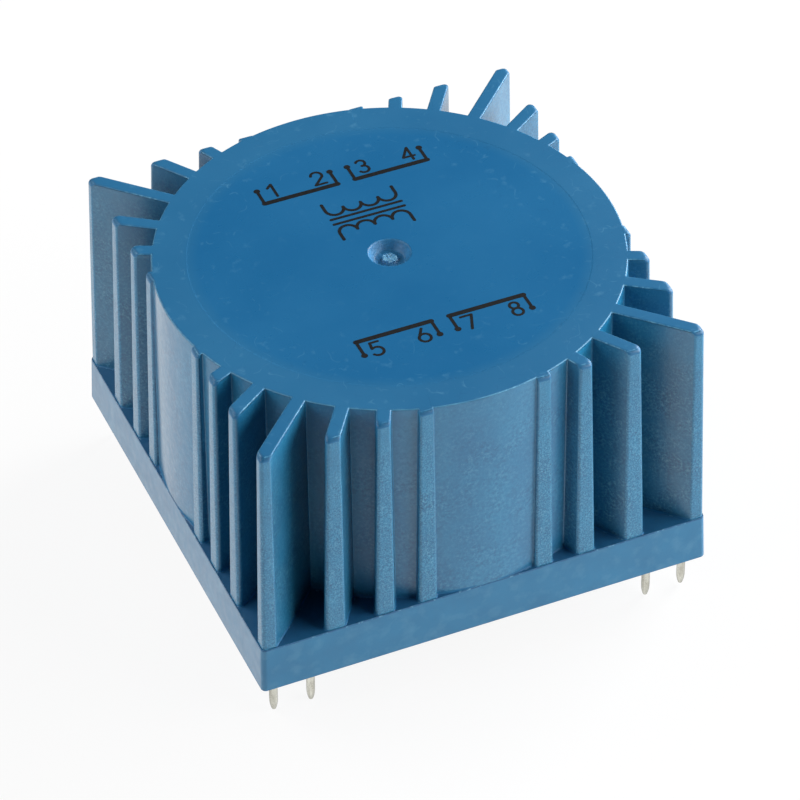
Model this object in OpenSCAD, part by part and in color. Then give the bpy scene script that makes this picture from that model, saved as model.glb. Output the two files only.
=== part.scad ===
// Toroidal mains transformer, potted in a finned plastic can with solder pins,
// for mounting on a printed circuit board.
// All sizes are in millimetres. The origin is the middle of the foot's underside,
// where the can seats on the board. +Z is up and the front faces -Y.

/* [Foot] */
// Width of the square foot at its underside
foot_w = 61; // [56:0.5:80]
// Height of the foot
foot_h = 6.8; // [5:0.1:12]
// How far each side of the foot leans in from its underside to its top
foot_taper = 0.25; // [0.05:0.05:0.8]
// Radius along the lower edges of the foot
foot_edge_r = 0.3; // [0.2:0.1:1.5]

/* [Drum] */
// Height of the can from its underside to its flat top
can_h = 37.4; // [24:0.1:60]
// Ledge on the foot's top between the drum and the middle of each side
drum_ledge = 0.05; // [0.05:0.05:2]
// How far the drum's wall leans in from the foot to its top
drum_taper = 0.5; // [0.05:0.05:0.8]
// Diameter of the dish around the moulding gate, at the drum's top
dish_d = 5.1; // [4:0.1:8]
// Diameter of the dish's floor
dish_floor_d = 3.8; // [2.8:0.1:4]
// Depth of the dish
dish_depth = 1.2; // [0.5:0.1:2]
// Diameter of the snapped-off gate stub in the dish
stub_d = 1.8; // [1:0.1:2.6]
// Height of the stub above the floor of the dish
stub_h = 0.3; // [0.1:0.05:0.5]

/* [Fins] */
// Fins on each half of a side, besides those at the corners
fins_per_half = 3; // [3:1:3]
// Angle from the middle of a side to its first fin
fin_first_angle = 15; // [12:0.5:18]
// Angle between the fins of a side
fin_step_angle = 9.75; // [8:0.25:10.5]
// Thickness of a fin where it stands on the foot
fin_root_t = 2.5; // [1.2:0.05:3]
// Thickness of a fin at its top
fin_top_t = 1.8; // [1:0.05:2.6]
// Ledge on the foot's top outside the fins
fin_ledge = 0.17; // [0.05:0.01:0.6]
// How far the fins' outer faces lean in from the foot to their tops
fin_taper = 0.8; // [0.2:0.05:1.5]
// Radius on the outer end of each fin's top
fin_tip_r = 0.65; // [0.3:0.05:2]

/* [Potting] */
// Thickness of the drum's wall at the potting mouth
wall = 2.2; // [1.2:0.1:5]
// How far the resin's face lies inside the underside
potting_recess = 0.8; // [0.3:0.1:2]
// Thickness of the resin plug
potting_t = 2; // [1:0.1:2.6]

/* [Pins] */
// Distance from the foot's sides to the centres of the corner pins
pin_inset = 2.3; // [1.6:0.1:2.5]
// Distance between the two pins of a pair
pin_pitch = 5; // [2.5:0.1:7.5]
// Diameter of a pin
pin_d = 1.1; // [0.7:0.05:1.6]
// Length of a pin below the foot
pin_len = 5.9; // [2.5:0.1:10]
// Length of the pin's root inside the foot
pin_grip = 3; // [1:0.1:4.5]
// Width of the shoulder where a pin seats against the foot's underside
pin_shoulder = 0.18; // [0.16:0.02:0.26]
// Length of the tapered tip
pin_tip_len = 1.7; // [0.5:0.1:2]
// Diameter at the end of the tip
pin_tip_d = 0.6; // [0.2:0.05:0.6]

/* [Hidden] */
$fn = 240;
ARC_STEP = 15; // degrees between the points of a rounded edge
CUT = 1; // how far a cutting solid runs past what it cuts

foot_half = foot_w / 2;
foot_top_half = foot_half - foot_taper;
drum_foot_r = foot_top_half - drum_ledge;
drum_top_r = drum_foot_r - drum_taper;
fin_foot_half = foot_top_half - fin_ledge;
fin_top_half = fin_foot_half - fin_taper;
fin_reach = foot_w; // longer than any fin
mouth_r = drum_foot_r - wall;
mouth_depth = potting_recess + potting_t;
pin_root_r = pin_d / 2 - pin_shoulder;
row_y = foot_half - pin_inset;
pin_xs = [-row_y, pin_pitch - row_y, row_y - pin_pitch, row_y];

SIDES = ["front", "right", "back", "left"];
CORNERS = ["front_left", "front_right", "back_right", "back_left"];
half_angles = [for (i = [0 : fins_per_half - 1]) fin_first_angle + i * fin_step_angle];
// Fin angles of one side, from left to right as seen from outside
fin_angles = concat([for (i = [fins_per_half - 1 : -1 : 0]) -half_angles[i]], half_angles);

function fin_name(side, i) = str(SIDES[side], "_fin_", i + 1);
function corner_name(side) = str("corner_fin_", CORNERS[side]);
function pin_name(back, i) = str(back ? "back" : "front", "_pin_", i + 1);

CAN_BLUE = [0.13, 0.42, 0.64];
RESIN = [0.10, 0.10, 0.11];
TIN = [0.78, 0.77, 0.72];

// Points of a quarter circle about [x, z], counter-clockwise from angle a
function quarter(x, z, r, a) = r > 0
    ? [for (d = [0 : ARC_STEP : 90]) [x + r * cos(a + d), z + r * sin(a + d)]]
    : [[x, z]];

// Right-hand outline of a leaning wall from z0 to z1, with rounded ends
function wall_points(half0, half1, z0, z1, r0, r1) =
    let (lean = (half0 - half1) / (z1 - z0))
    concat(
        quarter(half0 - lean * r0 - r0, z0 + r0, r0, -90),
        quarter(half1 + lean * r1 - r1, z1 - r1, r1, 0)
    );

// Long bar along Y whose two sides lean in, with rounded lower and upper edges
module leaning_bar(half0, half1, z0, z1, r0, r1) {
    right = wall_points(half0, half1, z0, z1, r0, r1);
    left = [for (i = [len(right) - 1 : -1 : 0]) [-right[i][0], right[i][1]]];
    rotate([90, 0, 0])
        linear_extrude(height = 4 * half0, center = true)
            polygon(concat(right, left));
}

// Cone that the drum fills, run past both its ends where it cuts the fins
module drum_cone(extra) {
    lean = drum_taper / (can_h - foot_h) * extra;
    translate([0, 0, foot_h - extra])
        cylinder(h = can_h - foot_h + 2 * extra, r1 = drum_foot_r + lean, r2 = drum_top_r - lean);
}

// Square base with the potting mouth below and a socket for each pin
module foot() {
    color(CAN_BLUE)
    difference() {
        intersection() {
            leaning_bar(foot_half, foot_top_half, 0, foot_h, foot_edge_r, 0);
            rotate([0, 0, 90])
                leaning_bar(foot_half, foot_top_half, 0, foot_h, foot_edge_r, 0);
        }
        translate([0, 0, -CUT])
            cylinder(h = mouth_depth + CUT, r = mouth_r);
        for (y = [-row_y, row_y]) for (x = pin_xs)
            translate([x, y, -CUT])
                cylinder(h = pin_grip + CUT, r = pin_root_r);
    }
}

// Round housing of the wound core, with the gate dish and its stub on top
module drum() {
    color(CAN_BLUE) {
        difference() {
            drum_cone(0);
            translate([0, 0, can_h - dish_depth])
                cylinder(h = dish_depth + CUT, d1 = dish_floor_d,
                         d2 = dish_d + (dish_d - dish_floor_d) * CUT / dish_depth);
        }
        translate([0, 0, can_h - dish_depth - CUT])
            cylinder(h = CUT + stub_h, d = stub_d);
    }
}

// Resin that closes the mouth
module potting() {
    color(RESIN)
    translate([0, 0, potting_recess])
        cylinder(h = potting_t, r = mouth_r);
}

// Upright blade that runs out from the drum at an angle from the front. It runs past
// the fin's lower and upper ends, where the trim cuts it.
module blade(angle) {
    lean = (fin_root_t - fin_top_t) / 2 / (can_h - foot_h) * CUT;
    low = fin_root_t / 2 + lean;
    high = fin_top_t / 2 - lean;
    rotate([0, 0, angle])
    translate([0, -drum_top_r / 2, 0])
    rotate([90, 0, 0])
        linear_extrude(height = fin_reach)
            polygon([[-low, foot_h - CUT], [low, foot_h - CUT],
                     [high, can_h + CUT], [-high, can_h + CUT]]);
}

// Bar that trims the fins to the outer faces they share
module fin_trim() {
    leaning_bar(fin_foot_half, fin_top_half, foot_h, can_h, 0, fin_tip_r);
}

// Fin on one side of the can
module side_fin(side, i) {
    color(CAN_BLUE)
    rotate([0, 0, 90 * side])
    difference() {
        intersection() {
            blade(fin_angles[i]);
            rotate([0, 0, 90]) fin_trim();
        }
        drum_cone(CUT);
    }
}

// Fin at the corner to the left of a side, trimmed to both sides' faces
module corner_fin(side) {
    color(CAN_BLUE)
    rotate([0, 0, 90 * side])
    difference() {
        intersection() {
            blade(-45);
            fin_trim();
            rotate([0, 0, 90]) fin_trim();
        }
        drum_cone(CUT);
    }
}

// Tinned solder pin with a tapered tip and a slimmer root in the foot
module pin(back, i) {
    color(TIN)
    translate([pin_xs[i], back ? row_y : -row_y, 0])
        rotate_extrude()
            polygon([[0, pin_grip], [pin_root_r, pin_grip], [pin_root_r, 0], [pin_d / 2, 0],
                     [pin_d / 2, pin_tip_len - pin_len],
                     [pin_tip_d / 2, -pin_len], [0, -pin_len]]);
}

foot();
drum();
potting();
for (side = [0:3]) for (i = [0 : len(fin_angles) - 1])
    side_fin(side, i);
for (side = [0:3])
    corner_fin(side);
for (back = [false, true]) for (i = [0:3])
    pin(back, i);
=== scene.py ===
"""Looks of the potted toroidal transformer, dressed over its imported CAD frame.

The can is one moulding, so one closed mesh stands for the foot, the drum and every
fin. The resin face, the solder pins and the printed winding marks are pieces of their
own. Their shapes are worked out in millimetres and scaled to metres when a mesh is
made. The floor and the lamps are placed in metres.
"""
import math
import random

import bmesh
import bpy
from mathutils import Matrix, Vector, geometry, noise


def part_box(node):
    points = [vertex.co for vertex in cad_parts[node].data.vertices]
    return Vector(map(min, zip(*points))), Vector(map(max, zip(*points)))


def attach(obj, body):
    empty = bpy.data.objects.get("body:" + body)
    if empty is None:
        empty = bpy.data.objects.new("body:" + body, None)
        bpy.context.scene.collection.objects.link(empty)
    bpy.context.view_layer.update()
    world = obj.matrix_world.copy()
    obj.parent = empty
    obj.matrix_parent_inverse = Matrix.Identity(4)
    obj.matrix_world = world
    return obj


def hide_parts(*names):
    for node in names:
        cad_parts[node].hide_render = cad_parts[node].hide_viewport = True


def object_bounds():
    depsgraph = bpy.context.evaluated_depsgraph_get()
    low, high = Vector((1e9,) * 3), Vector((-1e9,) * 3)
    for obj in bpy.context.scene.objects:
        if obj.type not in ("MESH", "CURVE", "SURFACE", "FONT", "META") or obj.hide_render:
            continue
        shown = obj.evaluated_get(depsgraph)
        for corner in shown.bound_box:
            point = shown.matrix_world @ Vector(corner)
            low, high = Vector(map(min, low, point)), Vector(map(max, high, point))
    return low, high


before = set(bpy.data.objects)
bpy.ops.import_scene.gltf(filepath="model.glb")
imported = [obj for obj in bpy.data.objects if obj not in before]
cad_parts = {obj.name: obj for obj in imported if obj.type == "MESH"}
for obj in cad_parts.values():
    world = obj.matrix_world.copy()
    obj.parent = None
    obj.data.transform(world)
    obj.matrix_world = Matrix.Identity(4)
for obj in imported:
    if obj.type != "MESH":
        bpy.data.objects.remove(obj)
cad_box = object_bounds()

MM = 0.001
SIDES = ("front", "right", "back", "left")
CORNERS = ("front_left", "front_right", "back_right", "back_left")


def box_mm(node):
    """Lowest and highest corner of a CAD node, in millimetres."""
    low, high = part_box(node)
    return low / MM, high / MM


# ---------------------------------------- sizes of the can
_, foot_high = box_mm("foot")
_, drum_high = box_mm("drum")
_, fins_high = box_mm("corner_fin_front_right")
resin_low, resin_high = box_mm("potting")

FOOT_HALF = foot_high.x
FOOT_H = foot_high.z
FOOT_LEAN = 0.239  # how far the sides lean in above their rounded lower edges
FOOT_TOP_HALF = FOOT_HALF - FOOT_LEAN
FOOT_MIDDLE_Z = 3.0  # height of a loop about halfway up the sides
FOOT_EDGE_R = 0.3
FOOT_CORNER_R = 0.7
FOOT_TOP_R = 0.16
FOOT_TOP_INSET = 0.05  # most that the rounded top edge is set back
FOOT_FLASH = 0.06  # size of the uneven burr left where the mould parts

CAN_H = drum_high.z
DRUM_FOOT_R = drum_high.x
DRUM_LEAN = 0.5

FIN_FOOT_HALF = fins_high.x
FIN_LEAN = 0.8
FIN_ROOT_T = 2.5
FIN_TOP_T = 1.8
FIN_TIP_R = 0.65
FIN_FIRST = 15.0  # angle from the middle of a side to its first fin
FIN_STEP = 9.75
HALF_ANGLES = [FIN_FIRST + i * FIN_STEP for i in range(3)]
FIN_ANGLES = [-angle for angle in reversed(HALF_ANGLES)] + HALF_ANGLES
CORNER_ANGLE = -45.0
FIN_EDGE_R = 0.5
CORNER_EDGE_R = 0.5
ROOT_R = 0.14  # fillet between the drum and a fin's flank
BASE_R = 0.22  # swell of the walls where they meet the foot's top
TOP_EDGE_R = 0.2
WALL_INSET = 0.07  # kept free between the walls and the foot's top edge

RING_R = 25.3
RING_STEP = 0.015  # step at the ring line, down to the disc inside it
RING_GROOVE = 0.006  # depth of the fine groove beside that step
DISC_Z = CAN_H - RING_STEP
DISC_RADII = (20.0, 14.0, 8.0)
DISH_R = 2.55
DISH_FLOOR_R = 1.9
DISH_DEPTH = 1.2
DISH_FLOOR_Z = CAN_H - DISH_DEPTH
DISH_RIM_R = 0.3
STUB_R = 0.9
STUB_H = 0.35
STUB_LOOPS = ((1.0, 0.75), (0.92, 1.0), (0.7, 1.05), (0.45, 0.95), (0.2, 1.1))
STUB_LUMPS = 0.55  # how far lumps, grain and an uneven outline change the stub
STUB_GRAIN = 0.25
STUB_UNEVEN = 0.22

MOUTH_R = resin_high.x
MOUTH_TOP = resin_high.z
RESIN_FACE = resin_low.z
MOUTH_EDGE_R = 0.2
RESIN_GAP = 0.01  # between the resin and the mouth around it
RESIN_LOOPS = 32
RESIN_SWELL = 0.05
RESIN_RIPPLE = 0.02
RESIN_CREEP = 0.45  # how far the resin creeps out along the mouth's wall
RESIN_CREEP_W = 0.45  # width of the rim that this leaves beside the wall

PIN_ROWS = ("front", "back")
PINS_PER_ROW = 4
PIN_TIP_LEN = 1.8
PIN_TIP_R = 0.3
PIN_TIP_STEPS = 8
PIN_TIP_CURVE = 2.2  # a cone at 1, and a later, rounder taper above it
PIN_BLUNT = 0.14  # rounding at the very end
PIN_END_SHARE = 0.4  # radius of the flat end, as a share of the tip's
PIN_TRIM = 0.4  # most that a pin is cut short of its full length
PIN_TRIM_SEED = 2082
SOCKET_DEPTH = 0.6
SOCKET_GAP = 0.02

ROUND = 240  # points on a full circle
PIN_ROUND = 32  # points round a pin or its socket
TINY = 0.02  # smallest rounding, so that no points coincide


# ---------------------------------------- mesh building
SHARP_DEG = 40.0  # faces that meet at more than this angle keep a crease
AREA_WEIGHT = 100  # normals lean towards those of the largest faces
EDGE_SHARE = 0.62  # most of a neighbouring edge that a rounding takes up
HULL_TRIANGLES = 0  # kinds of result that delaunay_2d_cdt gives
SHAPE_FACES = 3
FILL_JOIN = 1e-7  # distances within which it takes two points for one
INK_JOIN = 1e-4


class Shell:
    """Loops of points, in millimetres, and the faces between them."""

    def __init__(self):
        self.points = []
        self.faces = []

    def loop(self, points):
        """Adds points and gives their indices."""
        start = len(self.points)
        self.points.extend(Vector(p) for p in points)
        return list(range(start, len(self.points)))

    def skin(self, low, high):
        """Quads between two loops with the same number of points."""
        count = len(low)
        for i in range(count):
            j = (i + 1) % count
            self.faces.append((low[i], low[j], high[j], high[i]))

    def skins(self, loops):
        """Skins between each loop and the next."""
        for low, high in zip(loops, loops[1:]):
            self.skin(low, high)

    def cap(self, loop):
        """One face that closes a loop."""
        self.faces.append(tuple(loop))

    def fill(self, outer, *holes):
        """Flat faces between an outer loop and the holes in it."""
        rings = [outer, *holes]
        indices = [i for ring in rings for i in ring]
        flat = [self.points[i].to_2d() for i in indices]
        edges = []
        start = 0
        for ring in rings:
            count = len(ring)
            edges += [(start + i, start + (i + 1) % count) for i in range(count)]
            start += count
        found = geometry.delaunay_2d_cdt(flat, edges, [], HULL_TRIANGLES, FILL_JOIN)
        corners, faces, origins = found[0], found[2], found[3]
        outlines = [[self.points[i].to_2d() for i in ring] for ring in rings]
        for face in faces:
            middle = sum((corners[i] for i in face), Vector((0, 0))) / len(face)
            if not inside(middle, outlines[0]):
                continue
            if any(inside(middle, hole) for hole in outlines[1:]):
                continue
            self.faces.append(tuple(indices[origins[i][0]] for i in face))

    def build(self, name):
        """Object of the faces, smooth but for its creases."""
        mesh = bpy.data.meshes.new(name)
        mesh.from_pydata([p * MM for p in self.points], [], self.faces)
        work = bmesh.new()
        work.from_mesh(mesh)
        bmesh.ops.recalc_face_normals(work, faces=work.faces)
        work.to_mesh(mesh)
        work.free()
        mesh.shade_smooth()
        mesh.set_sharp_from_angle(angle=math.radians(SHARP_DEG))
        piece = bpy.data.objects.new(name, mesh)
        bpy.context.scene.collection.objects.link(piece)
        even = piece.modifiers.new("even_normals", "WEIGHTED_NORMAL")
        even.keep_sharp = True
        even.weight = AREA_WEIGHT
        return piece


def inside(point, outline):
    """True if a 2-D point lies in a closed outline."""
    found = False
    before = outline[-1]
    for here in outline:
        if (here.y > point.y) != (before.y > point.y):
            x = (before.x - here.x) * (point.y - here.y) / (before.y - here.y) + here.x
            if point.x < x:
                found = not found
        before = here
    return found


def circle(radius, z, count=ROUND, centre=(0.0, 0.0)):
    """Points of a level circle, counter-clockwise."""
    x, y = centre
    points = []
    for i in range(count):
        turn = math.tau * i / count
        points.append((x + radius * math.cos(turn), y + radius * math.sin(turn), z))
    return points


def quarter(radius, turns):
    """Steps round a quarter circle, as what is left to go and how far it has come."""
    steps = []
    for turn in turns:
        angle = math.radians(turn)
        steps.append((radius * (1 - math.sin(angle)), radius * (1 - math.cos(angle))))
    return steps


def ripple(x, y, scale, layer):
    """Smooth noise over the plan, from about -1 to 1. Each use has its own layer."""
    return noise.noise(Vector((x * scale, y * scale, layer)))


def rounded(before, corner, after, radius, steps):
    """Points of the arc that rounds a corner between its two neighbours."""
    to_before = (before - corner).normalized()
    to_after = (after - corner).normalized()
    half = to_before.angle(to_after) / 2
    room = EDGE_SHARE * min((before - corner).length, (after - corner).length)
    radius = max(TINY, min(radius, room * math.tan(half)))
    centre = corner + (to_before + to_after).normalized() * radius / math.sin(half)
    start = corner + to_before * radius / math.tan(half) - centre
    end = corner + to_after * radius / math.tan(half) - centre
    sweep = math.atan2(start.x * end.y - start.y * end.x, start.dot(end))
    arc = []
    for i in range(steps + 1):
        arc.append(centre + Matrix.Rotation(sweep * i / steps, 2) @ start)
    return arc


# ---------------------------------------- outline of the can
# A side's own plan has u out along a fin and v across it. Angles run from the middle
# of the side, from left to right as seen from outside.
ROOT_STEPS = 4
ROOT_SHARE = 0.45  # most of a flank's length that its root takes up
EDGE_STEPS = 4
CORNER_STEPS = 6
ARC_DEG = 1.3  # angle between the drum's points
CREEP = 0.0003  # least angle between points that share the drum, in radians


def root_arc(radius, half_t, root_r, hand):
    """Fillet between the drum and one flank of a fin, from the drum outwards."""
    out = radius + root_r
    across = hand * (half_t + root_r)
    centre = Vector((math.sqrt(out * out - across * across), across))
    start = math.atan2(-centre.y, -centre.x)
    end = -hand * math.pi / 2
    sweep = (end - start + math.pi) % math.tau - math.pi
    arc = []
    for i in range(ROOT_STEPS + 1):
        turn = start + sweep * i / ROOT_STEPS
        arc.append(centre + Vector((math.cos(turn), math.sin(turn))) * root_r)
    return arc


def fin_profile(angle, half, radius, thick):
    """Outline of one fin as (u, v) points, from its left root to its right root."""
    lean = math.radians(angle)
    half_t = thick / 2

    def end_at(v):
        """How far out the fin ends, at v across it."""
        if angle == CORNER_ANGLE:
            return (half - abs(v) * math.sin(-lean)) / math.cos(lean)
        return (half + v * math.sin(lean)) / math.cos(lean)

    start_u = math.sqrt(radius * radius - half_t * half_t)
    roots = []
    for hand in (-1, 1):
        room = end_at(hand * half_t) - start_u
        fillet = max(TINY, min(ROOT_R, ROOT_SHARE * room))
        roots.append(root_arc(radius, half_t, fillet, hand))
    left = Vector((end_at(-half_t), -half_t))
    right = Vector((end_at(half_t), half_t))
    if angle == CORNER_ANGLE:
        tip = Vector((end_at(0.0), 0.0))
        ends = rounded(roots[0][-1], left, tip, FIN_EDGE_R, EDGE_STEPS)
        ends += rounded(left, tip, right, CORNER_EDGE_R, CORNER_STEPS)
        ends += rounded(tip, right, roots[1][-1], FIN_EDGE_R, EDGE_STEPS)
    else:
        ends = rounded(roots[0][-1], left, right, FIN_EDGE_R, EDGE_STEPS)
        ends += rounded(left, right, roots[1][-1], FIN_EDGE_R, EDGE_STEPS)
    return settle(roots[0] + ends + roots[1][::-1], radius)


def settle(profile, radius):
    """Keeps a fin's points on or outside the drum, where its end sinks into it."""
    bearing = [math.atan2(p.y, p.x) for p in profile]
    last = len(profile) - 1
    placed = []
    for i, point in enumerate(profile):
        if point.length < radius + TINY / 2:
            low = bearing[0] + i * CREEP
            high = bearing[last] - (last - i) * CREEP
            turn = min(max(bearing[i], low), high)
            out = max(radius, point.length)
            point = Vector((math.cos(turn), math.sin(turn))) * out
        placed.append(point)
    return placed


def can_outline(half, radius, thick):
    """Outline of the drum and its fins at one height, counter-clockwise in plan."""
    fins = []
    for side in range(4):
        for angle in (CORNER_ANGLE, *FIN_ANGLES):
            turn = Matrix.Rotation(math.radians(90 * side + angle - 90), 2)
            profile = fin_profile(angle, half, radius, thick)
            fins.append((90 * side + angle, [turn @ p for p in profile]))
    outline = []
    for i, (angle, points) in enumerate(fins):
        next_angle, next_points = fins[(i + 1) % len(fins)]
        outline += points
        start = math.atan2(points[-1].y, points[-1].x)
        end = math.atan2(next_points[0].y, next_points[0].x)
        sweep = (end - start) % math.tau
        steps = round((next_angle - angle) % 360 / ARC_DEG)
        for k in range(1, steps):
            turn = start + sweep * k / steps
            outline.append(Vector((math.cos(turn), math.sin(turn))) * radius)
    limit = FOOT_TOP_HALF - WALL_INSET
    return [(min(max(p.x, -limit), limit), min(max(p.y, -limit), limit)) for p in outline]


def rise_at(z):
    """Share of the way from the foot's top to the can's top."""
    return (z - FOOT_H) / (CAN_H - FOOT_H)


def fin_half_at(z):
    """Distance from the axis to the leaning plane of a side's fin ends."""
    return FIN_FOOT_HALF - FIN_LEAN * rise_at(z)


def can_level(z, swell=0.0):
    """Outline at one height, swollen near the foot and shrunk at the top edge."""
    rise = rise_at(z)
    half = fin_half_at(z)
    below_top = CAN_H - z
    if below_top < FIN_TIP_R:
        drop = FIN_TIP_R - below_top
        half -= FIN_TIP_R - math.sqrt(max(0.0, FIN_TIP_R**2 - drop**2))
    radius = DRUM_FOOT_R - DRUM_LEAN * rise + swell
    thick = FIN_ROOT_T + (FIN_TOP_T - FIN_ROOT_T) * rise + 2 * swell
    return [(x, y, z) for x, y in can_outline(half, radius, thick)]


def can_levels():
    """Loops of the walls, from the foot's top to the can's top."""
    levels = []
    for swell, rise in quarter(BASE_R, (0, 30, 60, 90)):
        levels.append(can_level(FOOT_H + rise, swell))
    tips_z = CAN_H - FIN_TIP_R
    for share in (0.25, 0.5, 0.75):
        levels.append(can_level(FOOT_H + share * (tips_z - FOOT_H)))
    for turn in (0, 14, 28, 42, 54):
        levels.append(can_level(tips_z + FIN_TIP_R * math.sin(math.radians(turn))))
    for drop, inset in quarter(TOP_EDGE_R, (0, 22.5, 45, 67.5, 90)):
        levels.append(can_level(CAN_H - drop, -inset))
    return levels


# ---------------------------------------- foot of the can
SIDE_POINTS = 120
CORNER_POINTS = 8
FLASH_BASE = 0.4  # share of the burr that is there before the noise is added
FLASH_SCALE = 1.7


def square(half, corner_r, z, flash=0.0):
    """Square with rounded corners, counter-clockwise. Flash makes its edge uneven."""
    points = []
    corner_r = max(TINY, corner_r)
    reach = half - corner_r
    for side in range(4):
        turn = Matrix.Rotation(math.radians(90 * side), 2)
        for i in range(SIDE_POINTS):
            points.append(turn @ Vector((-reach + 2 * reach * i / SIDE_POINTS, -half)))
        for i in range(CORNER_POINTS):
            angle = math.radians(-90 + 90 * i / CORNER_POINTS)
            arc = Vector((math.cos(angle), math.sin(angle))) * corner_r
            points.append(turn @ (Vector((reach, -reach)) + arc))
    lifts = [flash * (FLASH_BASE + ripple(p.x, p.y, FLASH_SCALE, 3.0)) for p in points]
    return [(p.x, p.y, z + max(0.0, lift)) for p, lift in zip(points, lifts)]


def foot_half_at(z):
    """Half the foot's width at a height above its rounded lower edge."""
    return FOOT_HALF - FOOT_LEAN * (z - FOOT_EDGE_R) / (FOOT_H - FOOT_EDGE_R)


def foot_levels():
    """Loops of the foot's outside, from its underside to its top."""
    levels = []
    for inset, z in quarter(FOOT_EDGE_R, range(0, 91, 15)):
        levels.append(square(FOOT_HALF - inset, FOOT_CORNER_R - inset, z))
    edge = FOOT_H - FOOT_TOP_R
    for z in (FOOT_MIDDLE_Z, edge):
        levels.append(square(foot_half_at(z), FOOT_CORNER_R, z))
    for turn, flash in ((30, 0.0), (60, FOOT_FLASH), (90, FOOT_FLASH)):
        angle = math.radians(turn)
        inset = min(FOOT_TOP_R * (1 - math.cos(angle)), FOOT_TOP_INSET)
        z = edge + FOOT_TOP_R * math.sin(angle)
        levels.append(square(foot_half_at(z) - inset, FOOT_CORNER_R - inset, z, flash))
    return levels


def pin_boxes():
    """Name, centre, radius and tip of each solder pin."""
    chance = random.Random(PIN_TRIM_SEED)
    pins = []
    for row in PIN_ROWS:
        for i in range(PINS_PER_ROW):
            node = f"{row}_pin_{i + 1}"
            low, high = box_mm(node)
            centre = (low + high) / 2
            tip_z = low.z + chance.uniform(0, PIN_TRIM)
            pins.append((node, (centre.x, centre.y), (high.x - low.x) / 2, tip_z))
    return pins


# ---------------------------------------- top of the can
def stub_loop(share, rise):
    """Loop of the snapped stub, at shares of its radius and its height."""
    loop = []
    for x, y, _ in circle(STUB_R * share, 0.0):
        rough = STUB_LUMPS * ripple(x, y, 2.6, 7.0) + STUB_GRAIN * ripple(x, y, 7.0, 1.0)
        grow = 1 + STUB_UNEVEN * ripple(x, y, 1.0, 5.0)
        loop.append((x * grow, y * grow, DISH_FLOOR_Z + STUB_H * rise * (1 + rough)))
    return loop


def top_levels():
    """Loops from the ring line inwards to the gate's stub."""
    steps = [
        (RING_R + 0.06, CAN_H),
        (RING_R + 0.03, CAN_H - 0.3 * RING_STEP),
        (RING_R - 0.05, DISC_Z - RING_GROOVE),
        (RING_R - 0.16, DISC_Z),
    ]
    steps += [(r, DISC_Z) for r in DISC_RADII]
    for out, drop in quarter(DISH_RIM_R, (0, 22, 45, 68, 85)):
        steps.append((DISH_R + out, DISC_Z - drop))
    # Small coves round the dish's floor, at its wall and at the stub
    steps += [
        (DISH_FLOOR_R + 0.14, DISH_FLOOR_Z + 0.22),
        (DISH_FLOOR_R + 0.02, DISH_FLOOR_Z + 0.06),
        (DISH_FLOOR_R - 0.15, DISH_FLOOR_Z),
        (STUB_R + 0.12, DISH_FLOOR_Z),
        (STUB_R + 0.02, DISH_FLOOR_Z + 0.06),
    ]
    loops = [circle(r, z) for r, z in steps]
    return loops + [stub_loop(share, rise) for share, rise in STUB_LOOPS]


def build_can():
    """One closed mesh of the foot, the walls and fins, the top, the mouth and sockets."""
    can = Shell()
    foot = [can.loop(points) for points in foot_levels()]
    can.skins(foot)
    walls = [can.loop(points) for points in can_levels()]
    can.skins(walls)
    can.fill(foot[-1], walls[0])
    top = [can.loop(points) for points in top_levels()]
    can.skins(top)
    can.fill(walls[-1], top[0])
    can.cap(top[-1])
    mouth = []
    for out, z in quarter(MOUTH_EDGE_R, (0, 30, 60, 90)):
        mouth.append(can.loop(circle(MOUTH_R + out, z)))
    mouth.append(can.loop(circle(MOUTH_R, MOUTH_TOP)))
    can.skins(mouth)
    can.cap(mouth[-1])
    sockets = []
    for _, centre, radius, _ in pin_boxes():
        rim = can.loop(circle(radius + SOCKET_GAP, 0.0, PIN_ROUND, centre))
        end = can.loop(circle(radius + SOCKET_GAP, SOCKET_DEPTH, PIN_ROUND, centre))
        can.skin(rim, end)
        can.cap(end)
        sockets.append(rim)
    can.fill(foot[0], mouth[0], *sockets)
    return can.build("can")


# ---------------------------------------- resin and pins
def build_resin():
    """Plug cast in the mouth. Its face is slightly uneven and creeps along the wall."""
    resin = Shell()
    outer_r = MOUTH_R - RESIN_GAP
    loops = []
    for i in range(1, RESIN_LOOPS + 1):
        share = i / RESIN_LOOPS
        r = outer_r * (1 - (1 - share) ** 1.6)  # loops crowd towards the edge
        creep = RESIN_CREEP * math.exp((r - outer_r) / RESIN_CREEP_W)
        loop = []
        for x, y, _ in circle(r, 0.0):
            swell = RESIN_SWELL * ripple(x, y, 0.12, 2.0)
            swell += RESIN_RIPPLE * ripple(x, y, 0.5, 4.0)
            loop.append((x, y, RESIN_FACE + swell - creep))
        loops.append(resin.loop(loop))
    resin.cap(loops[0])
    resin.skins(loops)
    back = resin.loop(circle(outer_r, MOUTH_TOP - RESIN_GAP))
    resin.skin(loops[-1], back)
    resin.cap(back)
    return resin.build("potting_resin")


def build_pin(name, centre, radius, tip_z):
    """Round pin with a drawn-in, blunted tip."""
    pin = Shell()
    taper_z = tip_z + PIN_TIP_LEN
    profile = [(radius, SOCKET_DEPTH - SOCKET_GAP), (radius, taper_z)]
    for i in range(1, PIN_TIP_STEPS + 1):
        share = i / PIN_TIP_STEPS
        r = radius - (radius - PIN_TIP_R) * share**PIN_TIP_CURVE
        profile.append((r, taper_z - (PIN_TIP_LEN - PIN_BLUNT) * share))
    for rise, inset in quarter(PIN_BLUNT, (25, 50, 75)):
        profile.append((PIN_TIP_R - inset, tip_z + rise))
    profile.append((PIN_TIP_R * PIN_END_SHARE, tip_z))
    loops = [pin.loop(circle(r, z, PIN_ROUND, centre)) for r, z in profile]
    pin.skins(loops)
    pin.cap(loops[0])
    pin.cap(loops[-1])
    return pin.build(name)


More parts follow.
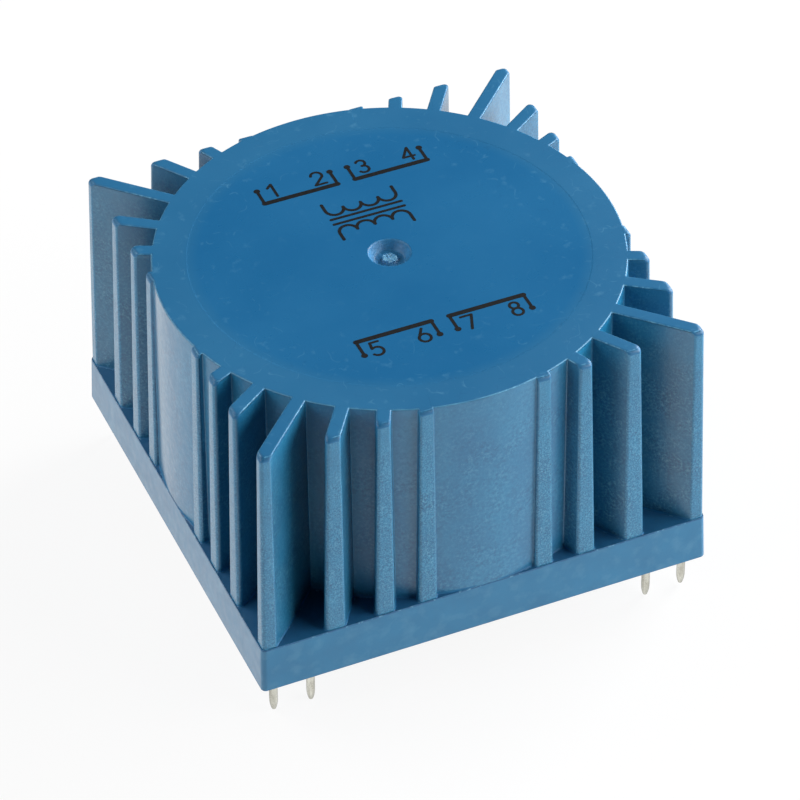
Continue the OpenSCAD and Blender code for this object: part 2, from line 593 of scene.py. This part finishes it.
# ---------------------------------------- printed marks
INK_T = 0.014
INK_ROOT = 0.002  # how far the ink starts below the face
BAR_W = 0.72
LEG_W = 0.42
LEG_LEN = 2.7
DOT_R = 0.42
BRACKET_W = 10.0
BRACKET_X = (-5.6, 6.8)
BRACKET_ROWS = ((15.2, 1), (-14.2, -1))  # height on the face, and where the legs point
DIGIT_H = 2.5
DIGIT_W = 0.36
DIGIT_CELL_W = 0.6  # width of the cell of a figure whose height is 1
DIGIT_INSET = 1.9  # from a bracket's leg to its number
DIGIT_GAP = 0.1
SYMBOL_X, SYMBOL_Y = 0.6, 8.3
SYMBOL_W = 0.42
CORE_GAP = 0.5  # from the middle of the symbol to each core line
WINDING_GAP = 0.7  # from a core line to the winding beside it
LOOP_R = 1.2
LOOPS = 4
LEAD_LEN = 1.3
ARC_STEPS = 14
END_STEPS = 8  # steps round the end of a stroke
DOT_STEPS = 23


def arc_points(x, y, r, start, end, steps=ARC_STEPS):
    """Points of an arc about a centre, between two angles in degrees."""
    points = []
    for i in range(steps + 1):
        angle = math.radians(start + (end - start) * i / steps)
        points.append((x + r * math.cos(angle), y + r * math.sin(angle)))
    return points


# Strokes of plain figures, in a cell that is 1 high
DIGITS = {
    1: [[(0.12, 0.76), (0.38, 1.0), (0.38, 0.0)]],
    2: [arc_points(0.3, 0.71, 0.29, 170, -35) + [(0.0, 0.0), (0.6, 0.0)]],
    3: [arc_points(0.28, 0.76, 0.24, 150, -90) + arc_points(0.28, 0.27, 0.27, 90, -150)],
    4: [[(0.46, 0.0), (0.46, 1.0), (0.0, 0.28), (0.62, 0.28)]],
    5: [[(0.54, 1.0), (0.12, 1.0), (0.07, 0.56)] + arc_points(0.27, 0.32, 0.31, 128, -145)],
    6: [arc_points(0.3, 0.3, 0.3, 0, 360), [(0.04, 0.42), (0.38, 1.0)]],
    7: [[(0.0, 1.0), (0.58, 1.0), (0.2, 0.0)]],
    8: [arc_points(0.3, 0.27, 0.27, 0, 360), arc_points(0.3, 0.77, 0.23, 0, 360)],
}


def place_digit(digit, x, y):
    """Strokes of a figure centred on a point."""
    strokes = []
    for stroke in DIGITS[digit]:
        moved = [(px - DIGIT_CELL_W / 2, py - 0.5) for px, py in stroke]
        strokes.append([(x + px * DIGIT_H, y + py * DIGIT_H) for px, py in moved])
    return strokes


def capsule(start, end, width):
    """Outline of a stroke between two points, with round ends."""
    a, b = Vector(start), Vector(end)
    turn = math.degrees(math.atan2(b.y - a.y, b.x - a.x))
    half = width / 2
    far_end = arc_points(b.x, b.y, half, turn - 90, turn + 90, END_STEPS)
    return far_end + arc_points(a.x, a.y, half, turn + 90, turn + 270, END_STEPS)


def stroke_shapes(strokes, width):
    """Outlines of every straight piece of some strokes."""
    return [capsule(a, b, width) for stroke in strokes for a, b in zip(stroke, stroke[1:])]


def bracket_shapes(x, y, toward):
    """Winding bracket: a bar, and two legs that end in dots. Toward is 1 or -1."""
    half = BRACKET_W / 2
    shapes = [capsule((x - half, y), (x + half, y), BAR_W)]
    for end in (x - half, x + half):
        tip = y + toward * LEG_LEN
        shapes.append(capsule((end, y), (end, tip), LEG_W))
        shapes.append(arc_points(end, tip, DOT_R, 0, 345, DOT_STEPS))
    return shapes


def symbol_shapes():
    """Two windings beside a core, as drawn in any circuit diagram."""
    shapes = []
    run = LOOPS * LOOP_R
    for hand in (-1, 1):
        row = SYMBOL_Y + hand * (CORE_GAP + LOOP_R + WINDING_GAP)
        line = SYMBOL_Y + hand * CORE_GAP
        shapes.append(capsule((SYMBOL_X - run, line), (SYMBOL_X + run, line), SYMBOL_W))
        strokes = []
        for i in range(LOOPS):
            x = SYMBOL_X - run + (2 * i + 1) * LOOP_R
            start = 180 if hand > 0 else 0
            strokes.append(arc_points(x, row, LOOP_R, start, start + 180))
        for end in (-1, 1):
            x = SYMBOL_X + end * run
            strokes.append([(x, row), (x, row + hand * LEAD_LEN)])
        shapes += stroke_shapes(strokes, SYMBOL_W)
    return shapes


def mark_shapes():
    """Outlines of all the marks, which overlap where strokes meet."""
    shapes = symbol_shapes()
    digit = 1
    for y, toward in BRACKET_ROWS:
        for x in BRACKET_X:
            shapes += bracket_shapes(x, y, toward)
            for end in (-1, 1):
                spot_x = x + end * (BRACKET_W / 2 - DIGIT_INSET)
                spot_y = y + toward * (BAR_W + DIGIT_H / 2 + DIGIT_GAP)
                shapes += stroke_shapes(place_digit(digit, spot_x, spot_y), DIGIT_W)
                digit += 1
    return shapes


def build_marks():
    """Thin layer of ink in the shape of all the marks together."""
    corners, faces = [], []
    for shape in mark_shapes():
        start = len(corners)
        corners += [Vector(p) for p in shape]
        faces.append(list(range(start, len(corners))))
    found = geometry.delaunay_2d_cdt(corners, [], faces, SHAPE_FACES, INK_JOIN)
    flat, kept = found[0], [f for f, owners in zip(found[2], found[5]) if owners]
    ink = Shell()
    low = ink.loop([(p.x, p.y, DISC_Z - INK_ROOT) for p in flat])
    high = ink.loop([(p.x, p.y, DISC_Z + INK_T) for p in flat])
    rims = {}
    for face in kept:
        ink.faces.append(tuple(high[i] for i in face))
        ink.faces.append(tuple(low[i] for i in reversed(face)))
        for a, b in zip(face, face[1:] + face[:1]):
            if (b, a) in rims:
                del rims[(b, a)]
            else:
                rims[(a, b)] = True
    for a, b in rims:
        ink.faces.append((low[a], low[b], high[b], high[a]))
    return ink.build("winding_marks")


# ---------------------------------------- materials
COAT_IOR = 1.2
COAT_ROUGH = 0.22
FADE_END = 0.98  # share of the can's height at which a grain stops fading


class Finish:
    """A node material with one Principled shader."""

    def __init__(self, name):
        self.material = bpy.data.materials.new(name)
        self.material.use_nodes = True
        self.nodes = self.material.node_tree.nodes
        self.links = self.material.node_tree.links
        self.shader = self.nodes["Principled BSDF"]
        self.place = self.nodes.new("ShaderNodeTexCoord").outputs["Object"]

    def feed(self, socket, value):
        """Sets a socket to a number or a colour, or links it to another socket."""
        if isinstance(value, (int, float)):
            socket.default_value = value
        elif isinstance(value, tuple):
            socket.default_value = (*value, 1.0)
        else:
            self.links.new(value, socket)

    def noise(self, scale, detail=2.0, stretch=(1, 1, 1), rough=0.5):
        """Smooth noise around 0.5, stretched along an axis where its factor is small."""
        mapping = self.nodes.new("ShaderNodeMapping")
        mapping.inputs["Scale"].default_value = stretch
        self.feed(mapping.inputs["Vector"], self.place)
        made = self.nodes.new("ShaderNodeTexNoise")
        self.feed(made.inputs["Scale"], scale)
        self.feed(made.inputs["Detail"], detail)
        self.feed(made.inputs["Roughness"], rough)
        self.feed(made.inputs["Vector"], mapping.outputs["Vector"])
        return made.outputs["Fac"]

    def spread(self, value, low, high, out_low=0.0, out_high=1.0):
        """Value whose range from low to high becomes the range out_low to out_high."""
        made = self.nodes.new("ShaderNodeMapRange")
        self.feed(made.inputs["Value"], value)
        self.feed(made.inputs["From Min"], low)
        self.feed(made.inputs["From Max"], high)
        self.feed(made.inputs["To Min"], out_low)
        self.feed(made.inputs["To Max"], out_high)
        return made.outputs["Result"]

    def combine(self, kind, first, second=0.0):
        """Number worked out from one or two others."""
        made = self.nodes.new("ShaderNodeMath")
        made.operation = kind
        for socket, value in zip(made.inputs, (first, second)):
            self.feed(socket, value)
        return made.outputs["Value"]

    def times(self, first, second):
        """Product of two numbers."""
        return self.combine("MULTIPLY", first, second)

    def vary(self, scale, detail, low=0.0, high=1.0, stretch=(1, 1, 1)):
        """Soft noise, whose usual range of 0.3 to 0.7 is spread from low to high."""
        return self.spread(self.noise(scale, detail, stretch), 0.3, 0.7, low, high)

    def grain(self, scale):
        """Crisp noise of a spark-eroded face."""
        return self.noise(scale, 4.0, rough=0.7)

    def scratches(self, scale, where, width):
        """Thin wandering lines, where one noise crosses its middle, in some places."""
        off = self.combine("SUBTRACT", self.noise(scale, 1.5), 0.5)
        line = self.spread(self.combine("ABSOLUTE", off), 0.0, width, 1.0, 0.0)
        return self.times(line, self.spread(self.noise(where, 1.0), 0.52, 0.6))

    def blend(self, share, first, second):
        """Mixes two colours, each a tuple or a socket."""
        made = self.nodes.new("ShaderNodeMix")
        made.data_type = "RGBA"
        colours = [s for s in made.inputs if s.type == "RGBA"]
        for socket, value in zip(colours, (first, second)):
            self.feed(socket, value)
        self.feed(made.inputs["Factor"], share)
        return next(s for s in made.outputs if s.type == "RGBA")

    def bump(self, height, depth_mm, strength=1.0, over=None):
        """Normal of a relief, which can lie over another one."""
        made = self.nodes.new("ShaderNodeBump")
        self.feed(made.inputs["Strength"], strength)
        self.feed(made.inputs["Distance"], depth_mm * MM)
        self.feed(made.inputs["Height"], height)
        if over is not None:
            self.feed(made.inputs["Normal"], over)
        return made.outputs["Normal"]

    def relief(self, scale, depth_mm, strength=1.0, over=None):
        """Normal of a relief of plain noise."""
        return self.bump(self.noise(scale), depth_mm, strength, over)

    def axes(self):
        """Place on the part along X, Y and Z, in metres."""
        parts = self.nodes.new("ShaderNodeSeparateXYZ")
        self.feed(parts.inputs["Vector"], self.place)
        return parts.outputs

    def outwards(self, start, end, low=0.0, high=1.0):
        """Goes from low to high between two distances from the axis, in millimetres."""
        x, y, _ = self.axes()
        radius = self.combine("SQRT", self.combine("ADD", self.times(x, x), self.times(y, y)))
        return self.spread(radius, start * MM, end * MM, low, high)

    def fading(self, patches, start, left):
        """Patches that fade with height, from a share of the can's to what is left."""
        low, high = start * CAN_H * MM, FADE_END * CAN_H * MM
        return self.times(patches, self.spread(self.axes()["Z"], low, high, 1.0, left))

    def pitted(self, colour, share, pits, dark, peaks, pale):
        """Colour with a share of a grain's dark pits, and of its peaks painted pale as glints.
        """
        colour = self.blend(self.times(share, pits), colour, dark)
        return self.blend(self.times(share, peaks), colour, pale)

    def haze(self, level, coat=1.0):
        """Makes a rough face shine more, and most of all where it is seen at a slant."""
        inputs = self.shader.inputs
        self.feed(inputs["Specular IOR Level"], level)
        self.feed(inputs["Coat Weight"], coat)
        self.feed(inputs["Coat IOR"], COAT_IOR)
        self.feed(inputs["Coat Roughness"], COAT_ROUGH)

    def wear(self, colour, roughness, normal):
        """Joins what was made to the shader and gives the material."""
        self.feed(self.shader.inputs["Base Color"], colour)
        self.feed(self.shader.inputs["Roughness"], roughness)
        self.feed(self.shader.inputs["Normal"], normal)
        return self.material


def srgb(red, green, blue):
    """Colour written as 0 to 255 in sRGB, as the linear values that Blender takes."""
    linear = []
    for value in (red, green, blue):
        value /= 255
        linear.append(value / 12.92 if value < 0.04045 else ((value + 0.055) / 1.055) ** 2.4)
    return tuple(linear)


def smooth_plastic():
    """Polished top: deep blue inside the ring line, slightly duller outside it."""
    finish = Finish("can_smooth")
    clouds = finish.vary(70, 3.0)
    middle = finish.blend(clouds, srgb(26, 97, 145), srgb(34, 104, 151))
    border = finish.blend(clouds, srgb(31, 100, 144), srgb(39, 107, 150))
    outside = finish.outwards(RING_R - 1.5, RING_R + 0.4)
    colour = finish.blend(outside, middle, border)
    rubbed = finish.outwards(0.6 * RING_R, 0.9 * RING_R, 0.05, 0.25)
    pale = finish.scratches(210, 700, 0.006)
    colour = finish.blend(finish.times(pale, rubbed), colour, srgb(96, 156, 190))
    dark = finish.scratches(260, 800, 0.007)
    colour = finish.blend(finish.times(dark, rubbed), colour, srgb(16, 76, 120))
    scuffs = finish.spread(finish.noise(650, 4.0), 0.62, 0.78)
    colour = finish.blend(finish.times(scuffs, rubbed), colour, srgb(96, 156, 190))
    rough = finish.vary(400, 3.0, 0.27, 0.3)
    rough = finish.combine("ADD", rough, finish.times(outside, 0.12))
    waves = finish.relief(200, 0.008)
    normal = finish.relief(5200, 0.0016, over=waves)
    return finish.wear(colour, rough, normal)


def grained_plastic():
    """Fins' outer faces: a coarse spark-eroded grain that fades near the top."""
    finish = Finish("can_grained")
    clouds = finish.vary(260, 4.0)
    base = finish.blend(clouds, srgb(8, 113, 156), srgb(22, 127, 170))
    patches = finish.spread(finish.noise(420, 3.0), 0.35, 0.65, 0.65, 1.0)
    share = finish.fading(patches, 0.7, 0.4)
    grain = finish.grain(4600)
    pits = finish.spread(grain, 0.36, 0.52, 0.75, 0.0)
    peaks = finish.spread(grain, 0.52, 0.68, 0.0, 0.5)
    # Pale peaks of the grain: painted glints.
    colour = finish.pitted(base, share, pits, srgb(4, 66, 106), peaks, srgb(128, 186, 206))
    rough = finish.vary(900, 2.0, 0.38, 0.48)
    coarse = finish.relief(1500, 0.03, 0.6)
    normal = finish.bump(grain, 0.06, over=coarse)
    finish.haze(0.75)
    return finish.wear(colour, rough, normal)


def flank_plastic():
    """Fins' broad sides: a softer grain, worn in patches, with painted shade that darkens them
    and a weaker shine towards the drum.
    """
    finish = Finish("can_flanks")
    clouds = finish.vary(200, 4.0, stretch=(1, 1, 0.7))
    base = finish.blend(clouds, srgb(8, 100, 140), srgb(24, 116, 156))
    grain = finish.grain(2900)
    patches = finish.spread(finish.noise(330, 3.0), 0.4, 0.62, 0.4, 1.0)
    share = finish.fading(patches, 0.75, 0.4)
    pits = finish.spread(grain, 0.36, 0.51, 0.6, 0.0)
    peaks = finish.spread(grain, 0.5, 0.68, 0.0, 0.45)
    # Pale peaks of the grain: painted glints.
    colour = finish.pitted(base, share, pits, srgb(4, 66, 106), peaks, srgb(120, 180, 196))
    # Painted shade: the colour darkens towards the drum, where the fins shade one another, and
    # the shine falls off there too.
    out = finish.outwards(DRUM_FOOT_R + 1, DRUM_FOOT_R + 6.5)
    painted_root_shade = finish.blend(0.25, colour, srgb(6, 30, 66))
    colour = finish.blend(out, painted_root_shade, colour)
    rough = finish.vary(900, 2.0, 0.38, 0.48)
    coarse = finish.relief(1300, 0.04, 0.6)
    normal = finish.bump(grain, 0.03, over=coarse)
    finish.haze(finish.spread(out, 0, 1, 0.55, 0.95), finish.spread(out, 0, 1, 0.7, 1.0))
    return finish.wear(colour, rough, normal)


def drum_plastic(name, level, coat):
    """Drum's wall: the same grain worn finer, with soft cloudy stains."""
    finish = Finish(name)
    clouds = finish.vary(160, 5.0, stretch=(1, 1, 0.6))
    base = finish.blend(clouds, srgb(8, 104, 148), srgb(26, 120, 162))
    grain = finish.grain(2100)
    patches = finish.spread(finish.noise(300, 3.0), 0.4, 0.65, 0.35, 1.0)
    share = finish.fading(patches, 0.8, 0.5)
    pits = finish.spread(grain, 0.36, 0.52, 0.5, 0.0)
    peaks = finish.spread(grain, 0.52, 0.68, 0.0, 0.22)
    # Pale peaks of the grain: painted glints.
    colour = finish.pitted(base, share, pits, srgb(4, 70, 112), peaks, srgb(120, 178, 200))
    rough = finish.vary(900, 2.0, 0.36, 0.46)
    coarse = finish.relief(1100, 0.025, 0.6)
    normal = finish.bump(grain, 0.025, over=coarse)
    finish.haze(level, coat)
    return finish.wear(colour, rough, normal)


def satin_plastic():
    """Foot's sides: smooth, with soft pale handling marks."""
    finish = Finish("can_satin")
    clouds = finish.vary(200, 4.0)
    base = finish.blend(clouds, srgb(8, 106, 150), srgb(20, 116, 160))
    marks = finish.spread(finish.noise(520, 4.0), 0.5, 0.8, 0.0, 0.22)
    colour = finish.blend(marks, base, srgb(112, 168, 194))
    rough = finish.vary(700, 3.0, 0.36, 0.46)
    waves = finish.relief(420, 0.02, 0.7)
    normal = finish.relief(2600, 0.006, over=waves)
    finish.haze(0.6)
    return finish.wear(colour, rough, normal)


def dish_plastic():
    """Dish around the gate: duller than the top, and whitened where the stub broke off."""
    finish = Finish("can_dish")
    clouds = finish.vary(900, 3.0)
    dull = finish.blend(clouds, srgb(30, 104, 151), srgb(44, 120, 167))
    white = finish.spread(finish.noise(2400, 3.0), 0.35, 0.65)
    broken = finish.blend(white, srgb(48, 120, 166), srgb(112, 172, 204))
    near = finish.outwards(STUB_R, 1.15 * STUB_R, 1.0, 0.0)
    colour = finish.blend(near, dull, broken)
    rough = finish.vary(1500, 2.0, 0.48, 0.6)
    coarse = finish.relief(1900, 0.05)
    normal = finish.relief(4000, 0.02, over=coarse)
    return finish.wear(colour, rough, normal)


def edge_plastic():
    """Small roundings, where the mould was smoother."""
    finish = Finish("can_edges")
    clouds = finish.vary(300, 3.0)
    colour = finish.blend(clouds, srgb(20, 102, 150), srgb(32, 112, 158))
    rough = finish.vary(1500, 2.0, 0.46, 0.56)
    normal = finish.relief(4000, 0.006)
    return finish.wear(colour, rough, normal)


def ledge_plastic():
    """Foot's top between the fins: painted shade darkens it, most beside the drum."""
    finish = Finish("can_ledges")
    clouds = finish.vary(300, 3.0)
    # Painted shade: the colour near the drum is darker than the one further out.
    near = finish.blend(clouds, srgb(12, 84, 128), srgb(22, 94, 138))
    far = finish.blend(clouds, srgb(16, 90, 136), srgb(26, 100, 144))
    out = finish.outwards(DRUM_FOOT_R, DRUM_FOOT_R + 8)
    colour = finish.blend(out, near, far)
    rough = finish.vary(1500, 2.0, 0.46, 0.56)
    normal = finish.relief(2600, 0.01)
    finish.haze(1.0, 0.0)
    return finish.wear(colour, rough, normal)


def seam_plastic():
    """Parting line along the foot's top edge: a broken dark line of painted shade, with pale
    flecks of painted highlight on its burrs.
    """
    finish = Finish("can_seam")
    clouds = finish.vary(300, 3.0)
    base = finish.blend(clouds, srgb(16, 92, 138), srgb(26, 104, 150))
    # Painted shade: a broken dark line along the seam.
    dark = finish.spread(finish.noise(900), 0.42, 0.56)
    colour = finish.blend(finish.times(dark, 0.5), base, srgb(10, 74, 118))
    # Painted highlights: pale flecks where the burr catches the light.
    pale = finish.spread(finish.noise(1500), 0.58, 0.66)
    colour = finish.blend(finish.times(pale, 0.5), colour, srgb(116, 176, 204))
    rough = finish.vary(2500, 2.0, 0.45, 0.6)
    normal = finish.relief(2200, 0.04)
    finish.haze(0.6)
    return finish.wear(colour, rough, normal)


def rim_plastic():
    """Thin burr along the top edges, painted paler as a highlight, in broken stretches."""
    finish = Finish("can_rims")
    # Painted highlight: pale in broken stretches along the top edges.
    grain = finish.spread(finish.noise(1800, 3.0, rough=0.6), 0.42, 0.62)
    stretches = finish.spread(finish.noise(160), 0.4, 0.6, 0.15, 0.9)
    share = finish.times(grain, stretches)
    # Painted highlight along the drum's rim, on its burr.
    drum_r = DRUM_FOOT_R - DRUM_LEAN
    drum = finish.outwards(drum_r, drum_r + 0.15, 1.0, 0.0)
    burr = finish.spread(finish.noise(700, 3.0), 0.35, 0.65, 0.2, 0.6)
    share = finish.combine("MAXIMUM", share, finish.times(drum, burr))
    colour = finish.blend(share, srgb(32, 112, 158), srgb(104, 172, 206))
    rough = finish.vary(2500, 2.0, 0.48, 0.62)
    normal = finish.relief(3000, 0.02)
    return finish.wear(colour, rough, normal)


def cast_resin():
    """Black potting resin with a few small pits."""
    finish = Finish("resin")
    clouds = finish.vary(180, 4.0)
    colour = finish.blend(clouds, srgb(26, 27, 31), srgb(44, 45, 50))
    rough = finish.vary(400, 3.0, 0.3, 0.5)
    pits = finish.bump(finish.spread(finish.noise(900, 1.0), 0.62, 0.72), 0.05)
    normal = finish.relief(2500, 0.01, over=pits)
    return finish.wear(colour, rough, normal)


def dull_tin():
    """Tinned wire with streaks along it, and painted shade that makes it greyer towards its
    outline.
    """
    finish = Finish("tin")
    streaks = finish.vary(2600, 2.0, stretch=(1, 1, 0.08))
    colour = finish.blend(streaks, srgb(192, 191, 180), srgb(232, 231, 220))
    stains = finish.spread(finish.noise(1300, 3.0, (1, 1, 0.4)), 0.5, 0.7, 0.0, 0.5)
    colour = finish.blend(stains, colour, srgb(150, 146, 132))
    # Painted shade: darker grey where the wire is seen at a slant, towards its outline.
    slant = finish.nodes.new("ShaderNodeLayerWeight")
    outline = finish.spread(slant.outputs["Facing"], 0.35, 0.95, 0.0, 0.75)
    colour = finish.blend(outline, colour, srgb(104, 104, 96))
    rough = finish.vary(5000, 2.0, 0.24, 0.38)
    normal = finish.bump(finish.noise(2600, 2.0, (1, 1, 0.1)), 0.012)
    finish.feed(finish.shader.inputs["Metallic"], 0.9)
    return finish.wear(colour, rough, normal)


def black_ink():
    """Matt ink that is a little thinner in patches."""
    finish = Finish("ink")
    patches = finish.vary(1800, 3.0)
    colour = finish.blend(patches, srgb(5, 6, 8), srgb(13, 16, 19))
    rough = finish.vary(3000, 2.0, 0.55, 0.7)
    normal = finish.relief(6000, 0.003)
    finish.feed(finish.shader.inputs["Specular IOR Level"], 0.25)
    return finish.wear(colour, rough, normal)


# How far a face's normal rises, from 0 on a wall to 1 on a level face
WALL_RISE = 0.12
TOP_RISE = 0.35
LEVEL_RISE = 0.97
RIM_RISES = (0.2, 0.9)
CLOSE = 0.1  # a face within this distance of a height counts as being there
MARGIN = 1.0  # keeps faces that lie elsewhere out of a test
SECOND_FIN = FIN_ANGLES[4]


def on_fin_end(x, y, height):
    """True on the face that closes a fin, where it faces straight out from a side."""
    return max(abs(x), abs(y)) > fin_half_at(height) - 0.6 * FIN_EDGE_R


def off_middle(x, y):
    """Angle, in degrees, between a point and the middle of the nearest side."""
    turn = math.degrees(math.atan2(y, x)) % 90
    return min(turn, 90 - turn)


def at_seam(height):
    """True along the foot's rounded top edge, where the mould parts."""
    return FOOT_H - FOOT_TOP_R < height < FOOT_H + FOOT_FLASH


def paint_can(can):
    """Gives every face of the can the finish of its place on the moulding."""
    finishes = (
        smooth_plastic(),
        grained_plastic(),
        flank_plastic(),
        drum_plastic("can_drum", 0.75, 1.0),
        # Shaded copy of the drum's finish, with less shine, for the wall deep in the gaps near
        # the corners: painted shade.
        drum_plastic("can_gaps", 0.45, 0.3),
        satin_plastic(),
        dish_plastic(),
        edge_plastic(),
        rim_plastic(),
        seam_plastic(),
        ledge_plastic(),
    )
    for finish in finishes:
        can.data.materials.append(finish)
    kinds = range(len(finishes))
    smooth, grained, flank, drum, shaded_gaps, satin, dish, edge, rim, seam, ledge = kinds
    rim_low, rim_high = RIM_RISES
    for face in can.data.polygons:
        x, y, height = face.center / MM
        up = face.normal.z
        radius = math.hypot(x, y)
        at_edge = height > CAN_H - 0.9 * TOP_EDGE_R and rim_low < up < rim_high
        if radius < DISH_R + 0.5 * DISH_RIM_R and height > MOUTH_TOP + MARGIN:
            kind = dish
        elif radius > RING_R + MARGIN and at_edge:
            kind = rim
        elif height > DISH_FLOOR_Z - CLOSE and up > TOP_RISE:
            kind = smooth
        elif at_seam(height) and WALL_RISE < up < LEVEL_RISE:
            kind = seam
        elif up > LEVEL_RISE and abs(height - FOOT_H) < CLOSE:
            kind = ledge
        elif abs(up) > WALL_RISE or height < 0:
            kind = edge
        elif height < FOOT_H:
            kind = satin
        elif radius < DRUM_FOOT_R + TINY:
            # Past the second fin, the drum's wall takes the shaded copy: painted shade.
            kind = shaded_gaps if off_middle(x, y) > SECOND_FIN else drum
        else:
            kind = grained if on_fin_end(x, y, height) else flank
        face.material_index = kind


# ---------------------------------------- pieces
can = build_can()
paint_can(can)
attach(can, "root")
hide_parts("foot", "drum")
for side in SIDES:
    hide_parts(*(f"{side}_fin_{i + 1}" for i in range(len(FIN_ANGLES))))
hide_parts(*(f"corner_fin_{corner}" for corner in CORNERS))

resin = build_resin()
resin.data.materials.append(cast_resin())
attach(resin, "root")
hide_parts("potting")

tin = dull_tin()
for node, centre, radius, tip_z in pin_boxes():
    pin = build_pin(f"tinned_{node}", centre, radius, tip_z)
    pin.data.materials.append(tin)
    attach(pin, "root")
    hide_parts(node)

marks = build_marks()
marks.data.materials.append(black_ink())
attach(marks, "root")


# ---------------------------------------- floor, light, camera
WHITE = (1.0, 1.0, 1.0)
FLOOR_Z = cad_box[0].z
FLOOR_HALF = 3.0
FLOOR_GREY = 0.86
FLOOR_ROUGH = 0.9
SHADOWLESS = 0.9  # share of the floor's white that the shadow leaves alone
WORLD_GREY = 0.03
LAMP_DISTANCE = 0.6
LAMP_WIDTH = 0.35
LAMPS = (  # name, azimuth, elevation and watts
    ("key", -130, 40, 1.5),
    ("fill", 45, 22, 2.0),
    ("left", -85, 25, 1.25),
    ("right", 105, 24, 5.0),
    ("low_right", 72, 14, 2.1),
)
CAMERA_AZIMUTH = -23.23
CAMERA_ELEVATION = 41.37
CAMERA_ROLL = -0.36
CAMERA_OFFSET = (1.119, 9.647, 560.8)  # right, up and back from the origin, in mm
CAMERA_LENS = 193.6
CAMERA_SENSOR = 36.0
CAMERA_NEAR = 0.01


def mixed(nodes, links, share, first, second):
    """Output of a shader that mixes two others."""
    mix = nodes.new("ShaderNodeMixShader")
    for source, target in zip((share, first, second), mix.inputs):
        links.new(source, target)
    return mix.outputs[0]


def pale_floor():
    """White floor that keeps a faint shadow, and is seen through from below."""
    finish = Finish("floor")
    nodes, links = finish.nodes, finish.links
    finish.feed(finish.shader.inputs["Base Color"], (FLOOR_GREY, FLOOR_GREY, FLOOR_GREY))
    finish.feed(finish.shader.inputs["Roughness"], FLOOR_ROUGH)
    glow = nodes.new("ShaderNodeEmission")
    finish.feed(glow.inputs["Color"], WHITE)
    finish.feed(glow.inputs["Strength"], 1.0)
    path = nodes.new("ShaderNodeLightPath").outputs
    seen = finish.times(path["Is Camera Ray"], SHADOWLESS)
    share = finish.combine("MAXIMUM", seen, path["Is Glossy Ray"])
    lit = mixed(nodes, links, share, finish.shader.outputs[0], glow.outputs[0])
    clear = nodes.new("ShaderNodeBsdfTransparent").outputs[0]
    under = nodes.new("ShaderNodeNewGeometry").outputs["Backfacing"]
    both = mixed(nodes, links, under, lit, clear)
    links.new(both, nodes["Material Output"].inputs["Surface"])
    return finish.material


def build_floor():
    """Square floor at the ends of the pins."""
    mesh = bpy.data.meshes.new("floor")
    reach = FLOOR_HALF
    corners = [(-reach, -reach), (reach, -reach), (reach, reach), (-reach, reach)]
    mesh.from_pydata([(x, y, FLOOR_Z) for x, y in corners], [], [(0, 1, 2, 3)])
    mesh.materials.append(pale_floor())
    floor = bpy.data.objects.new("floor", mesh)
    bpy.context.scene.collection.objects.link(floor)


def light_world():
    """Even grey surroundings that the camera sees as white."""
    world = bpy.data.worlds.new("studio")
    bpy.context.scene.world = world
    world.use_nodes = True
    nodes, links = world.node_tree.nodes, world.node_tree.links
    grey = nodes["Background"]
    white = nodes.new("ShaderNodeBackground")
    for background, strength in ((grey, WORLD_GREY), (white, 1.0)):
        background.inputs["Color"].default_value = (*WHITE, 1.0)
        background.inputs["Strength"].default_value = strength
    seen = nodes.new("ShaderNodeLightPath").outputs["Is Camera Ray"]
    both = mixed(nodes, links, seen, grey.outputs[0], white.outputs[0])
    links.new(both, nodes["World Output"].inputs["Surface"])


def bearing(azimuth, elevation):
    """Unit vector towards a bearing: azimuth 0 is the front, positive to the right."""
    a, e = math.radians(azimuth), math.radians(elevation)
    return Vector((math.sin(a) * math.cos(e), -math.cos(a) * math.cos(e), math.sin(e)))


def softbox(name, azimuth, elevation, power):
    """Square lamp aimed at the can from a bearing measured as the camera's is."""
    data = bpy.data.lights.new(name, "AREA")
    data.shape = "SQUARE"
    data.size = LAMP_WIDTH
    data.energy = power
    lamp = bpy.data.objects.new(name, data)
    toward = bearing(azimuth, elevation)
    lamp.location = toward * LAMP_DISTANCE + Vector((0, 0, CAN_H * MM / 2))
    lamp.rotation_mode = "QUATERNION"
    lamp.rotation_quaternion = (-toward).to_track_quat("-Z", "Y")
    bpy.context.scene.collection.objects.link(lamp)


def place_camera():
    """Camera that looks down on the front from its left."""
    back = bearing(CAMERA_AZIMUTH, CAMERA_ELEVATION)
    turn = (-back).to_track_quat("-Z", "Y").to_matrix()
    turn @= Matrix.Rotation(math.radians(CAMERA_ROLL), 3, "Z")
    data = bpy.data.cameras.new("camera")
    data.lens = CAMERA_LENS
    data.sensor_width = CAMERA_SENSOR
    data.clip_start = CAMERA_NEAR
    camera = bpy.data.objects.new("camera", data)
    camera.matrix_world = Matrix.Translation(turn @ Vector(CAMERA_OFFSET) * MM) @ turn.to_4x4()
    bpy.context.scene.collection.objects.link(camera)
    bpy.context.scene.camera = camera


build_floor()
light_world()
for lamp in LAMPS:
    softbox(*lamp)
place_camera()
bpy.context.scene.view_settings.view_transform = "Standard"
